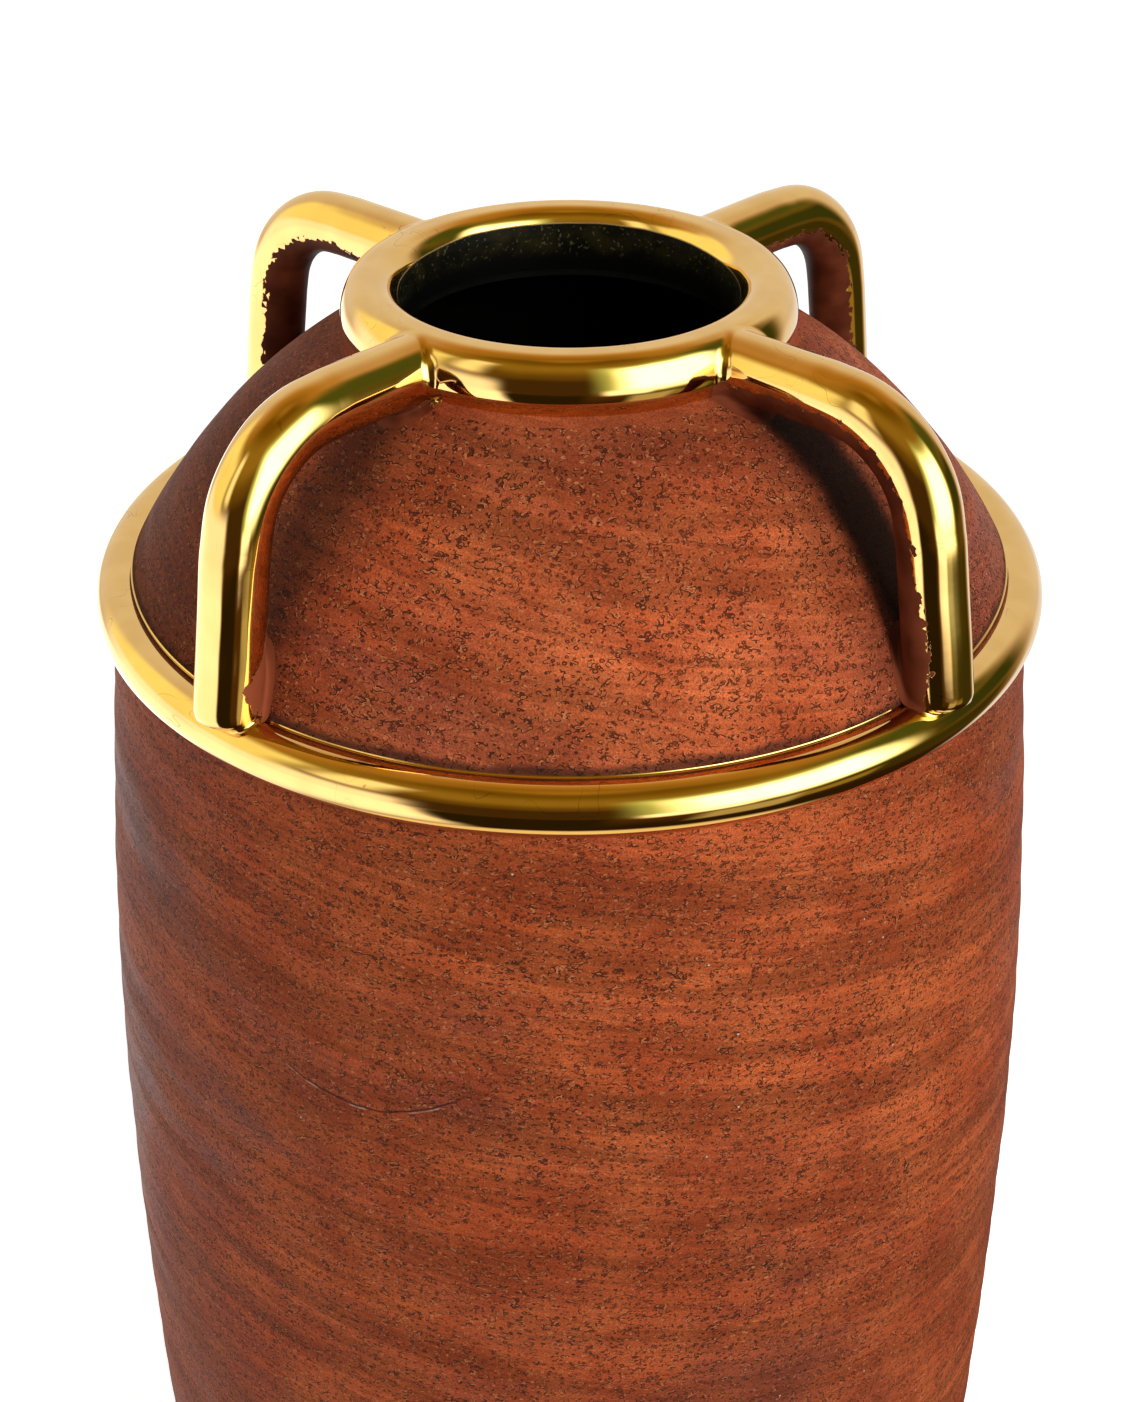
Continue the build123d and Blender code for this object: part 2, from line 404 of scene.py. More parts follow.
# ---------------------------------------------------------------- clay groups
def pores_group():
    """Open pores and worm marks, drawn with painted shade in the pits and painted highlights on their rims, and pale
    grog grains of the turned clay.
    """
    tree, n, i, o = group(
        "clay_pores",
        [("Vector", V, None), ("Amount", F, 1.0)],
        [("Pits", F), ("Rims", F), ("Grains", F)],
    )
    here = i["Vector"]
    patch = n.ramp(n.noise(here, 30.0, detail=2.0), 0.34, 0.60, 0.78, 1.0)
    # Ring marks: the mouth of a grain that burned out, open on one side; the dark side is painted shade and the other
    # side a painted highlight.
    pits, lit_rims = None, None
    for scale, shift, share in ((400.0, 0.0, 0.34), (620.0, 3.7, 0.38)):
        moved = n.new("ShaderNodeMapping", Vector=here, Location=(shift, shift, shift), Scale=(1.0, 1.0, 1.5)).outputs["Vector"]
        cells = n.new("ShaderNodeTexVoronoi", Vector=moved, Scale=scale)
        away = cells.outputs["Distance"]
        split = n.new("ShaderNodeSeparateColor", Color=cells.outputs["Color"])
        few = n.ramp(split.outputs[0], share, share + 0.06)
        bite = n.ramp(n.noise(moved, scale * 0.9, detail=0.0), 0.40, 0.52)
        wall_of = n.math("ABSOLUTE", n.math("SUBTRACT", away, n.ramp(split.outputs[1], 0.0, 1.0, 0.16, 0.32, smooth=False)))
        ring = n.math("MULTIPLY", n.ramp(wall_of, 0.035, 0.095, 1.0, 0.0), n.math("MULTIPLY", few, bite))
        lit = n.math("MULTIPLY", n.ramp(wall_of, 0.05, 0.12, 1.0, 0.0), n.math("MULTIPLY", few, n.math("SUBTRACT", 1.0, bite)))
        pits = ring if pits is None else n.math("MAXIMUM", pits, ring)
        lit_rims = lit if lit_rims is None else n.math("MAXIMUM", lit_rims, lit)
    # Worm marks: short lengths of the lines where a noise crosses its middle, with a painted highlight along one side.
    drawn = n.stretch(here, (1.0, 1.0, 1.7))
    field = n.noise(drawn, 430.0, detail=0.6)
    length = n.ramp(n.noise(drawn, 290.0, detail=0.0), 0.53, 0.61)
    worm = n.ramp(n.math("ABSOLUTE", n.math("SUBTRACT", field, 0.50)), 0.016, 0.042, 1.0, 0.0)
    crest = n.ramp(n.math("ABSOLUTE", n.math("SUBTRACT", field, 0.565)), 0.012, 0.034, 1.0, 0.0)
    pits = n.math("MAXIMUM", pits, n.math("MULTIPLY", worm, length))
    lit_rims = n.math("MAXIMUM", lit_rims, n.math("MULTIPLY", crest, length))
    amount = n.math("MULTIPLY", patch, i["Amount"])
    pits = n.math("MULTIPLY", pits, amount)
    lit_rims = n.math("MULTIPLY", n.math("MULTIPLY", lit_rims, amount), n.math("SUBTRACT", 1.0, pits, clamp=True))
    grog = n.new("ShaderNodeTexVoronoi", Vector=here, Scale=120.0)
    tone = n.new("ShaderNodeSeparateColor", Color=grog.outputs["Color"])
    grains = n.math("MULTIPLY", n.ramp(grog.outputs["Distance"], 0.03, 0.055, 1.0, 0.0), n.ramp(tone.outputs[2], 0.74, 0.78))
    for key, value in (("Pits", pits), ("Rims", lit_rims), ("Grains", grains)):
        n.tree.links.new(value, o[key])
    return tree


def slip_group():
    """Brushed slip: broad dark bands and fine strokes that run round the jar."""
    tree, n, i, o = group(
        "brushed_slip", [("Vector", V, None), ("Dark", F, 0.5)], [("Slip", F), ("Sweep", F), ("Stroke", F)]
    )
    here = i["Vector"]
    tilt = n.stretch(here, (1.0, 1.0, 1.0), (0.16, -0.10, 0.0))
    broad = n.noise(n.stretch(tilt, (4.2, 4.2, 14.0)), 1.0, detail=3.0, rough=0.6, distortion=0.6)
    sweep = n.noise(n.stretch(tilt, (8.0, 8.0, 95.0)), 1.0, detail=4.0, rough=0.62, distortion=0.4)
    hair = n.noise(n.stretch(tilt, (24.0, 24.0, 560.0)), 1.0, detail=3.0, rough=0.6)
    both = n.math("ADD", n.math("MULTIPLY", broad, 0.60), n.math("MULTIPLY", sweep, 0.40))
    low = n.math("SUBTRACT", 0.66, n.math("MULTIPLY", i["Dark"], 0.22))
    slip = n.ramp(both, n.math("SUBTRACT", low, 0.10), n.math("ADD", low, 0.10))
    n.tree.links.new(slip, o["Slip"])
    n.tree.links.new(n.ramp(sweep, 0.36, 0.64), o["Sweep"])
    n.tree.links.new(n.ramp(hair, 0.3, 0.7), o["Stroke"])
    return tree


PORES = pores_group()
SLIP = slip_group()

# Lights and camera share the direction of the photograph.
EYE_AZ = math.atan2(0.4586, 0.4957)


def grey(n, value):
    return n.new("ShaderNodeCombineColor", Red=value, Green=value, Blue=value).outputs[0]


def terracotta(name, pore_amount=1.0, dark=0.5):
    mat, n, shader = material(name)
    here = n.new("ShaderNodeTexCoord").outputs["Object"]
    pores = place(n, PORES, Vector=here, Amount=pore_amount)
    slip = place(n, SLIP, Vector=here, Dark=dark)
    x, y, z = n.new("ShaderNodeSeparateXYZ", Vector=here).outputs
    # Darker beside the handles, where stain and shade go together, and painted shade under the lip and on the dome's
    # side turned from the key light.
    uneven = n.math("MULTIPLY", n.math("SUBTRACT", n.noise(here, 45.0, detail=3.0), 0.5), 0.030)
    across = n.math("ABSOLUTE", n.math("ADD", x, 0.003))
    beside = n.math("MINIMUM", across, n.math("ABSOLUTE", n.math("SUBTRACT", y, 0.003)))
    on_dome = n.math("GREATER_THAN", z, SHOULDER_Z * MM)
    shade_and_stain = n.math("MULTIPLY", n.ramp(n.math("ADD", beside, uneven), 0.008, 0.030, 1.0, 0.0), on_dome)
    wander = n.math("MULTIPLY", uneven, 0.25)
    # Painted shadow of the handles on the dome: a near-black strip beside the right and left handles, fainter beside
    # the front and back ones.
    shadow_by_x = n.ramp(n.math("ADD", across, wander), 0.003, 0.016, 0.55, 0.0)
    shadow_by_y = n.ramp(n.math("ADD", n.math("ABSOLUTE", n.math("SUBTRACT", y, 0.0085)), wander), 0.006, 0.015, 0.95, 0.0)
    handle_shadow = n.math("MULTIPLY", n.math("MAXIMUM", shadow_by_x, shadow_by_y), on_dome)
    # Painted shade under the lip, over the collar and the top of the dome.
    collar = n.ramp(n.math("ADD", z, n.math("MULTIPLY", uneven, 0.6)), (NECK_Z - 17.0) * MM, (NECK_Z - 1.0) * MM)
    shade_and_stain = n.math("MAXIMUM", shade_and_stain, n.math("MULTIPLY", collar, 0.8))
    # Painted shade on the dome between the front and left handles, the side turned from the key light.
    past = n.ramp(n.math("ADD", x, uneven), -0.045, -0.015, 1.0, 0.0)
    past = n.math("MULTIPLY", n.math("MULTIPLY", past, n.ramp(y, -0.02, 0.02, 1.0, 0.0)), on_dome)
    shade_and_stain = n.math("MAXIMUM", shade_and_stain, past)
    # Darker on the dome down from just above the top of the shoulder coil.
    low = n.math("ADD", z, n.math("MULTIPLY", uneven, 0.16))
    dark_above_ring = n.math("MULTIPLY", n.ramp(low, (RING_Z + 8.4) * MM, (RING_Z + 10.6) * MM, 1.0, 0.0), on_dome)
    orange = n.mix(n.ramp(n.noise(here, 34.0, detail=3.0), 0.35, 0.65), (0.300, 0.052, 0.014), (0.385, 0.082, 0.023))
    brown = n.mix(n.ramp(n.noise(here, 48.0, detail=2.0), 0.35, 0.65), (0.100, 0.022, 0.014), (0.155, 0.034, 0.019))
    clay = n.mix(n.math("MULTIPLY", slip["Slip"], 0.85), orange, brown)
    clay = n.mix(1.0, clay, grey(n, n.ramp(slip["Sweep"], 0.0, 1.0, 0.77, 1.28)), "MULTIPLY")
    clay = n.mix(1.0, clay, grey(n, n.ramp(slip["Stroke"], 0.0, 1.0, 0.86, 1.16)), "MULTIPLY")
    clay = n.mix(1.0, clay, n.mix(on_dome, (0.96, 0.92, 0.83), (1.08, 1.11, 1.19)), "MULTIPLY")
    # Darker beside the handles from stain and painted shade, and painted shade under the lip and between the front and
    # left handles.
    clay = n.mix(n.math("MULTIPLY", shade_and_stain, 0.55), clay, (0.085, 0.018, 0.010))
    speck = n.ramp(n.noise(here, 1900.0, detail=1.5), 0.25, 0.75, 0.66, 1.34)
    clay = n.mix(1.0, clay, grey(n, speck), "MULTIPLY")
    # Painted highlights on the pore rims, then painted shade in the pits.
    clay = n.mix(n.math("MULTIPLY", pores["Rims"], 0.46), clay, (0.66, 0.24, 0.09))
    clay = n.mix(n.math("MULTIPLY", pores["Pits"], 0.85), clay, (0.045, 0.011, 0.007))
    # Darker band on the dome at the top of the shoulder coil.
    clay = n.mix(n.math("MULTIPLY", dark_above_ring, 0.8), clay, (0.030, 0.012, 0.009))
    clay = n.mix(pores["Grains"], clay, (0.72, 0.56, 0.46))
    # One long hairline scratch on the wall.
    round_at = n.math("ARCTAN2", y, x)
    line = n.math("SUBTRACT", z, n.math("MULTIPLY_ADD", round_at, 0.60872, 0.87066))
    line = n.math("SUBTRACT", line, n.math("MULTIPLY", n.math("MULTIPLY", round_at, round_at), 0.24612))
    line = n.math("ADD", line, n.math("MULTIPLY", n.math("SUBTRACT", n.noise(here, 60.0), 0.5), 0.004))
    reach = n.math("MULTIPLY", n.ramp(round_at, -1.42, -1.36), n.ramp(round_at, -1.06, -1.00, 1.0, 0.0))
    cut = n.math("MULTIPLY", n.ramp(n.math("ABSOLUTE", line), 0.0002, 0.0005, 1.0, 0.0), reach)
    chipped = n.math("MULTIPLY", n.ramp(n.math("ABSOLUTE", n.math("ADD", line, 0.0006)), 0.0002, 0.0005, 1.0, 0.0), reach)
    chipped = n.math("MULTIPLY", chipped, n.ramp(n.noise(here, 90.0), 0.50, 0.60))
    clay = n.mix(n.math("MULTIPLY", chipped, 0.5), clay, (0.60, 0.36, 0.28))
    clay = n.mix(n.math("MULTIPLY", cut, 0.85), clay, (0.030, 0.008, 0.005))
    # The painted handle shadow goes over all the clay's other marks.
    clay = n.mix(handle_shadow, clay, (0.011, 0.0022, 0.0009))
    n.feed(shader, "Base Color", clay)
    n.feed(shader, "Roughness", n.ramp(slip["Slip"], 0.0, 1.0, 0.62, 0.50))
    shader.inputs["Specular IOR Level"].default_value = 0.08
    grain = n.math("MULTIPLY", n.noise(here, 1300.0, detail=2.0, rough=0.6), 0.30)
    height = n.math("SUBTRACT", n.math("ADD", grain, n.math("MULTIPLY", pores["Rims"], 0.35)), pores["Pits"])
    height = n.math("ADD", height, n.math("MULTIPLY", slip["Stroke"], 0.20))
    height = n.math("ADD", height, n.math("MULTIPLY", pores["Grains"], 0.5))
    bump = n.new("ShaderNodeBump", Strength=1.0, Distance=0.0005, Height=height)
    n.feed(shader, "Normal", bump.outputs[0])
    return mat


def lustre(name, dents=0.15):
    """Gold lustre that ends in a ragged edge on smooth bare clay."""
    mat, n, shader = material(name)
    here = n.new("ShaderNodeTexCoord").outputs["Object"]
    edge = n.new("ShaderNodeAttribute")
    edge.attribute_name = "bare_edge"
    x, y, z = n.new("ShaderNodeSeparateXYZ", Vector=here).outputs
    flake = n.new("ShaderNodeTexVoronoi", Vector=here, Scale=420.0)
    chip = n.new("ShaderNodeSeparateColor", Color=flake.outputs["Color"]).outputs[0]
    rag = n.math("MULTIPLY", n.math("SUBTRACT", n.noise(here, 170.0, detail=3.0, rough=0.6), 0.5), 5.0)
    rag = n.math("ADD", rag, n.math("MULTIPLY", n.math("SUBTRACT", chip, 0.5), 2.4))
    where = n.math("ADD", edge.outputs["Fac"], rag)
    bare = n.ramp(where, -0.10, 0.10)
    rim = n.math("MULTIPLY", n.ramp(where, -0.7, 0.0), n.math("SUBTRACT", 1.0, bare))
    holes = n.new("ShaderNodeTexVoronoi", Vector=here, Scale=70.0)
    tone = n.new("ShaderNodeSeparateColor", Color=holes.outputs["Color"])
    pin = n.math("MULTIPLY", n.ramp(holes.outputs["Distance"], 0.016, 0.026, 1.0, 0.0), n.ramp(tone.outputs[0], 0.80, 0.82))
    gold = n.mix(n.ramp(n.noise(here, 60.0, detail=2.0), 0.35, 0.65), (0.730, 0.450, 0.155), (0.775, 0.495, 0.180))
    gold = n.mix(n.math("MULTIPLY", rim, 0.5), gold, (0.45, 0.20, 0.06))
    # Bare clay where the lustre is gone, darkened as painted shade, with a lighter copy painted as lit near the front
    # handle's foot.
    tint = n.mix(n.ramp(n.noise(here, 70.0, detail=3.0), 0.35, 0.65), (0.080, 0.016, 0.006), (0.165, 0.038, 0.015))
    tint = n.mix(n.ramp(y, -0.132, -0.118, 1.0, 0.0), tint, (0.26, 0.062, 0.024))
    cover = n.math("MAXIMUM", bare, pin)
    # Painted shade darkens and dulls the straight wall inside the mouth, darkest deep down, with pale specks of dust.
    rho = n.math("SQRT", n.math("ADD", n.math("MULTIPLY", x, x), n.math("MULTIPLY", y, y)))
    climb = n.math("MULTIPLY", n.math("SUBTRACT", y, x), -0.03)
    climb = n.math("ADD", climb, n.math("MULTIPLY", n.noise(here, 40.0), 0.0012))
    below = n.ramp(n.math("ADD", z, climb), (LIP_Z + 1.7) * MM, (LIP_Z + 2.5) * MM, 1.0, 0.0)
    within = n.math("MULTIPLY", n.ramp(rho, (MOUTH + 4.0) * MM, (MOUTH + 5.0) * MM, 1.0, 0.0), below)
    blot = n.ramp(n.noise(here, 95.0, detail=4.0, rough=0.65), 0.40, 0.72)
    dust = n.ramp(n.noise(here, 800.0, detail=1.0), 0.62, 0.72)
    mouth_shade_and_dust = n.mix(blot, (0.002, 0.002, 0.001), (0.013, 0.0105, 0.003))
    mouth_shade_and_dust = n.mix(n.math("MULTIPLY", dust, 0.30), mouth_shade_and_dust, (0.16, 0.13, 0.06))
    # Painted shade, near black, deeper in the mouth.
    mouth_shade_and_dust = n.mix(n.ramp(z, (LIP_Z - 8.0) * MM, (LIP_Z - 2.0) * MM), (0.001, 0.001, 0.001), mouth_shade_and_dust)
    # Fine hairlines in the lustre.
    drawn = n.noise(n.stretch(here, (60.0, 60.0, 60.0)), 1.0, detail=1.0, distortion=1.2)
    hair = n.math("MULTIPLY", n.ramp(n.math("ABSOLUTE", n.math("SUBTRACT", drawn, 0.5)), 0.0012, 0.004, 1.0, 0.0), n.ramp(n.noise(here, 26.0, detail=1.0), 0.56, 0.62))
    gold = n.mix(n.math("MULTIPLY", hair, 0.55), gold, (0.30, 0.13, 0.04))
    colour = n.mix(within, n.mix(cover, gold, tint), mouth_shade_and_dust)
    n.feed(shader, "Base Color", colour)
    dull = n.math("MAXIMUM", cover, n.math("MULTIPLY", within, 0.97))
    n.feed(shader, "Metallic", n.math("SUBTRACT", 1.0, dull))
    n.feed(shader, "Roughness", n.ramp(dull, 0.0, 1.0, 0.05, 0.55, smooth=False))
    shader.inputs["Specular IOR Level"].default_value = 0.06
    wave = n.math("MULTIPLY", n.noise(here, 22.0, detail=2.0, rough=0.4), 1.6)
    wave = n.math("ADD", wave, n.math("MULTIPLY", n.noise(here, 62.0, detail=1.0), dents))
    fine = n.math("MULTIPLY", n.noise(here, 160.0, detail=1.0), 0.05)
    step = n.math("MULTIPLY", cover, -0.25)
    height = n.math("ADD", n.math("ADD", wave, fine), step)
    bump = n.new("ShaderNodeBump", Strength=1.0, Distance=0.00022, Height=height)
    n.feed(shader, "Normal", bump.outputs[0])
    return mat


def glaze(name):
    """Deep black glaze with dust and small runs."""
    mat, n, shader = material(name)
    here = n.new("ShaderNodeTexCoord").outputs["Object"]
    pool = n.ramp(n.noise(here, 30.0, detail=3.0), 0.3, 0.7)
    n.feed(shader, "Base Color", n.mix(pool, (0.002, 0.002, 0.002), (0.004, 0.004, 0.003)))
    n.feed(shader, "Roughness", n.ramp(pool, 0.0, 1.0, 0.30, 0.45))
    shader.inputs["Specular IOR Level"].default_value = 0.04
    bump = n.new("ShaderNodeBump", Strength=0.6, Distance=0.0006, Height=n.noise(here, 60.0, detail=2.0))
    n.feed(shader, "Normal", bump.outputs[0])
    return mat


CLAY = terracotta("porous_terracotta")
COLLAR_CLAY = terracotta("wiped_terracotta", pore_amount=0.06, dark=0.35)
GOLD = lustre("gold_lustre_over_clay")
LIP_GOLD = lustre("gold_lustre_on_lip", dents=1.3)
GLAZE = glaze("black_glaze_inside")


# ---------------------------------------------------------------- turned pieces
def keep(obj, nodes):
    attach(obj, "root")
    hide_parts(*nodes)
    return obj


def wall_piece(name, centre, radius, z0, z1):
    """A wall section between two heights on one arc of the outline."""
    outside = along(centre, radius, z0, z1)
    inside = inside_of(outside, centre)
    piece = turned(name, np.concatenate([outside, inside[::-4], inside[:1]]), CLAY)
    shape_points(piece, throwing)
    return keep(piece, [name])


# The lower wall has two arcs, so it is put together here.
low_out = np.concatenate([
    along(FOOT_C, FOOT_R, FLOOR_Z, KNEE_Z)[:-1],
    along(LOWER_C, LOWER_R, KNEE_Z, BELLY_Z),
])
low_in = np.concatenate([
    inside_of(along(FOOT_C, FOOT_R, FLOOR_Z, KNEE_Z)[:-1], FOOT_C),
    inside_of(along(LOWER_C, LOWER_R, KNEE_Z, BELLY_Z), LOWER_C),
])
lower_wall = turned("lower_wall", np.concatenate([low_out, low_in[::-4], low_in[:1]]), CLAY)
shape_points(lower_wall, throwing)
keep(lower_wall, ["lower_wall"])
wall_piece("upper_wall", UPPER_C, UPPER_R, BELLY_Z, SHOULDER_Z)

dome_out = along(DOME_C, DOME_R, SHOULDER_Z, NECK_Z, step=1.2)
dome_in = inside_of(dome_out, DOME_C)
dome = turned("shoulder_dome", np.concatenate([dome_out, [(MOUTH + 0.3, NECK_Z)], dome_in[dome_in[:, 0] > MOUTH][::-4]]), CLAY)
shape_points(dome, throwing)
keep(dome, ["shoulder_dome"])

slab_out = along(FOOT_C, FOOT_R, BASE_Z, FLOOR_Z)
slab = turned("base_slab", np.concatenate([slab_out, [(60.0, FLOOR_Z), (0, FLOOR_Z), (0, BASE_Z), (60.0, BASE_Z)]]), CLAY)
keep(slab, ["base_slab"])


def rounded(corner, a, b, radius, n=6):
    """Points round a corner between the directions of its two neighbours."""
    corner, a, b = map(np.array, (corner, a, b))
    u, v = unit(a - corner), unit(b - corner)
    start, end = corner + u * radius, corner + v * radius
    centre = corner + (u + v) * radius
    ts = np.linspace(0, math.pi / 2, n)
    return [centre - v * radius * math.cos(t) - u * radius * math.sin(t) for t in ts]


foot_low, foot_high = (76.0, 0.0), (91.0, 0.0)
foot_profile = [
    *rounded(foot_high, (91.0, 8.0), foot_low, 2.5),
    *rounded(foot_low, foot_high, (76.0, 8.0), 2.5),
    (76.0, 8.0),
    (91.0, 8.0),
]
keep(turned("foot_ring", foot_profile, CLAY), ["foot_ring"])

# Collar, with a soft cove where it is wiped onto the dome.
cove = []
for w in np.linspace(-1, 1, 9):
    h2 = (1 - abs(w)) ** 2 * 2.4 / 4
    a, b = h2 + max(w, 0) * 2.4, h2 + max(-w, 0) * 2.4
    rho = COLLAR - 0.9 + a
    z = DOME_C[1] + math.sqrt((DOME_R + b) ** 2 - (rho - DOME_C[0]) ** 2)
    cove.append((rho, z))
skirt = [(cove[-1][0] + 1.2, 0.0), (cove[-1][0] + 2.2, 0.0)]
skirt = [(r, DOME_C[1] + math.sqrt((DOME_R + d) ** 2 - (r - DOME_C[0]) ** 2)) for (r, _), d in zip(skirt, (0.03, -0.25))]
collar = turned("neck_collar", [(COLLAR - 0.9, SEAT_Z), *cove, *skirt, (MOUTH + 0.5, NECK_Z - 3.0), (MOUTH + 0.5, SEAT_Z)], COLLAR_CLAY)
keep(collar, ["neck_collar"])

# Lip coil with its straight gilded wall inside.
ring = [tuple(p) for p in LIP_FACE]
ring += [(2 * LIP_RING - LIP_SPREAD - r, z) for r, z in ring[::-1] if z >= LIP_Z]
lip = turned(
    "lip_ring",
    [*ring, (MOUTH, LIP_Z - 4.0), (MOUTH, LIP_Z - 8.0), (MOUTH, LIP_Z - 11.4), (MOUTH + 1.0, LIP_Z - 11.9), (MOUTH + 3.0, LIP_Z - 11.9), (60.0, SEAT_Z), (64.0, LIP_Z - 9.4)],
    LIP_GOLD,
    steps=360,
)
layer = lip.data.attributes.new("bare_edge", "FLOAT", "POINT")
layer.data.foreach_set("value", np.full(len(lip.data.vertices), -9.0, np.float32))
keep(lip, ["lip_ring"])

# Shoulder coil, its smear, and a short wiped band on the dome beside it, all gilded.
SMEAR = 0.4
coil = [(RING + RING_COIL * math.cos(a), RING_Z + RING_COIL * math.sin(a)) for a in np.linspace(-1.35, 1.75, 80)]


def meet(d_ring, d_dome):
    """The point outside, at these distances from the coil and from the dome."""
    c0, c1 = np.array([RING, RING_Z]), DOME_C
    r0, r1 = RING_COIL + d_ring, DOME_R + d_dome
    d = np.linalg.norm(c1 - c0)
    a = (r0**2 - r1**2 + d**2) / (2 * d)
    h = math.sqrt(max(r0**2 - a**2, 0))
    u = (c1 - c0) / d
    side = np.array([u[1], -u[0]])
    if side[1] < 0:
        side = -side
    return tuple(c0 + u * a + side * h)


smear = []
for w in np.linspace(-1, 1, 22):
    h2 = (1 - abs(w)) ** 2 * SMEAR / 4
    smear.append(meet(h2 + max(w, 0) * SMEAR, h2 + max(-w, 0) * SMEAR))
first = math.atan2(smear[0][1] - RING_Z, smear[0][0] - RING)
coil = [(RING + RING_COIL * math.cos(a), RING_Z + RING_COIL * math.sin(a)) for a in np.linspace(-1.35, first, 84)][:-1]
last = smear[-1]
a_last = math.atan2(last[1] - DOME_C[1], last[0] - DOME_C[0])
band = []
for reach, lift in ((0.06, 0.01), (0.12, 0.0), (0.4, -0.1), (1.0, -0.3)):
    a = a_last + reach / DOME_R
    band.append((DOME_C[0] + (DOME_R + lift) * math.cos(a), DOME_C[1] + (DOME_R + lift) * math.sin(a)))
back = [(band[-1][0] - 4.0, band[-1][1] - 8.0), (RING - 6.0, RING_Z - 4.0), (RING + 1.0, RING_Z - RING_COIL + 1.0)]
profile = np.array([*coil, *smear, *band, *back])
edge = np.full(len(profile), -9.0)
shoulder = turned("shoulder_ring", profile, GOLD, steps=640, attributes={"bare_edge": edge})
keep(shoulder, ["shoulder_ring"])

inner_pts = np.concatenate([dome_in[dome_in[:, 0] > MOUTH][::-3], inside_of(along(UPPER_C, UPPER_R, BELLY_Z, SHOULDER_Z - 3.0, 6.0), UPPER_C)[::-1], low_in[::-3]])
floor_in = [(float(low_in[0][0]) - 4.0, FLOOR_Z + 1.5), (50.0, FLOOR_Z + 0.3), (0.0, FLOOR_Z + 0.3)]
skin = np.concatenate([[(MOUTH + 0.05, LIP_Z - 11.2), (MOUTH + 0.05, LIP_Z - 13.4)], inner_pts - (0.25, 0.0)])
behind = np.concatenate([[(MOUTH + 0.8, LIP_Z - 11.2), (MOUTH + 0.8, LIP_Z - 13.0)], inner_pts + (0.6, 0.3)])
glaze_in = turned(
    "inside_glaze",
    np.concatenate([skin, floor_in, [(0.0, FLOOR_Z - 0.5), (50.0, FLOOR_Z - 0.5)], behind[::-1]]),
    GLAZE,
    steps=256,
)
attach(glaze_in, "root")


# ---------------------------------------------------------------- handles
CORNER = RING - 11.2
FOOT_AT = np.array([RING + 1.6, RING_Z + RING_COIL - 2.2])
LEG = unit(FOOT_AT - np.array([CORNER, HANDLE_Z]))
TURN = math.acos(LEG[0])
REACH = BEND * math.tan(TURN / 2)
BEND_FROM = CORNER - REACH
BEND_END = np.array([CORNER, HANDLE_Z]) + LEG * REACH
BEND_C = np.array([BEND_FROM, HANDLE_Z - BEND])
ROUND = 3.0
AROUND = 96


def first_crossing(grid, values):
    """Where the values first fall below nothing, for each column."""
    low = np.argmax(values < 0, axis=0)
    low = np.maximum(low, 1)
    cols = np.arange(values.shape[1])
    v0, v1 = values[low - 1, cols], values[low, cols]
    t = v0 / np.where(v0 - v1 == 0, 1, v0 - v1)
    return grid[low - 1] + t * (grid[low] - grid[low - 1])


def blend_pair(w, k):
    """Distances from coil and from carrier on the hollow, at a share w across it."""
    h2 = (1 - abs(w)) ** 2 * k / 4
    return h2 + np.maximum(w, 0) * k, h2 + np.maximum(-w, 0) * k


HEAD_END = 64.5


def head_profile_at(t, a, theta):
    """Along the level coil towards the lip and round its hidden end."""
    side = BEND_FROM - 1.0 - HEAD_END
    turn = np.clip((t - side) / (HANDLE + a), 0, math.pi / 2)
    q = (HANDLE + a) * np.cos(turn)
    x = HEAD_END + np.clip(side - t, 0, None) - (HANDLE + a) * np.sin(turn)
    return x, q * np.sin(theta), HANDLE_Z + q * np.cos(theta)


def head_row(theta, w, k):
    """A row of points where the level coil runs into the lip."""
    a, b = blend_pair(w, k)
    t = np.linspace(0.0, 50.0, 1800)
    x, y, z = head_profile_at(t[:, None], a[None, :], theta[None, :])
    at = first_crossing(t, to_lip(np.hypot(x, y), z) - b)
    return np.stack(head_profile_at(at, a, theta), 1)


def foot_frame(q, p, theta):
    """A point near the foot: q from the leg's line, p beyond its end."""
    n1 = np.array([-LEG[1], LEG[0]])
    r = FOOT_AT[0] + LEG[0] * p + n1[0] * q * np.cos(theta)
    z = FOOT_AT[1] + LEG[1] * p + n1[1] * q * np.cos(theta)
    return r, q * np.sin(theta), z


def foot_profile_at(t, a):
    """Down the side of the leg and round its end, at a distance a outside it."""
    start = -40.0
    side = start + t
    bend = (t - (-ROUND - start)) / (ROUND + a)
    turn = np.clip(bend, 0, math.pi / 2)
    past = np.clip((bend - math.pi / 2) * (ROUND + a), 0, None)
    q = np.where(bend <= 0, HANDLE + a, HANDLE - ROUND + (ROUND + a) * np.cos(turn) - past)
    p = np.where(bend <= 0, side, -ROUND + (ROUND + a) * np.sin(turn))
    return q, p


def foot_row(theta, w, k):
    a, b = blend_pair(w, k)
    t = np.linspace(0.0, 48.0, 1600)
    q, p = foot_profile_at(t[:, None], a[None, :])
    r, y, z = foot_frame(q, p, theta[None, :])
    at = first_crossing(t, to_ring(np.hypot(r, y), z) - b)
    q, p = foot_profile_at(at, a)
    return np.stack(foot_frame(q, p, theta), 1), at


def eased(rows, at, joints, reach=10.0):
    """Rows averaged along the coil beside its joints, so that the bend starts gently."""
    whole = np.array(rows)
    soft = whole.copy()
    for i, s in enumerate(at):
        half = reach - 0.6 * min(abs(s - joint) for joint in joints)
        if half > 0:
            spots = s + np.linspace(-half, half, 41)
            k = np.clip(np.searchsorted(at, spots), 1, len(at) - 1)
            t = ((spots - at[k - 1]) / (at[k] - at[k - 1]))[:, None, None]
            soft[i] = ((1 - t) * whole[k - 1] + t * whole[k]).mean(0)
    return list(soft)


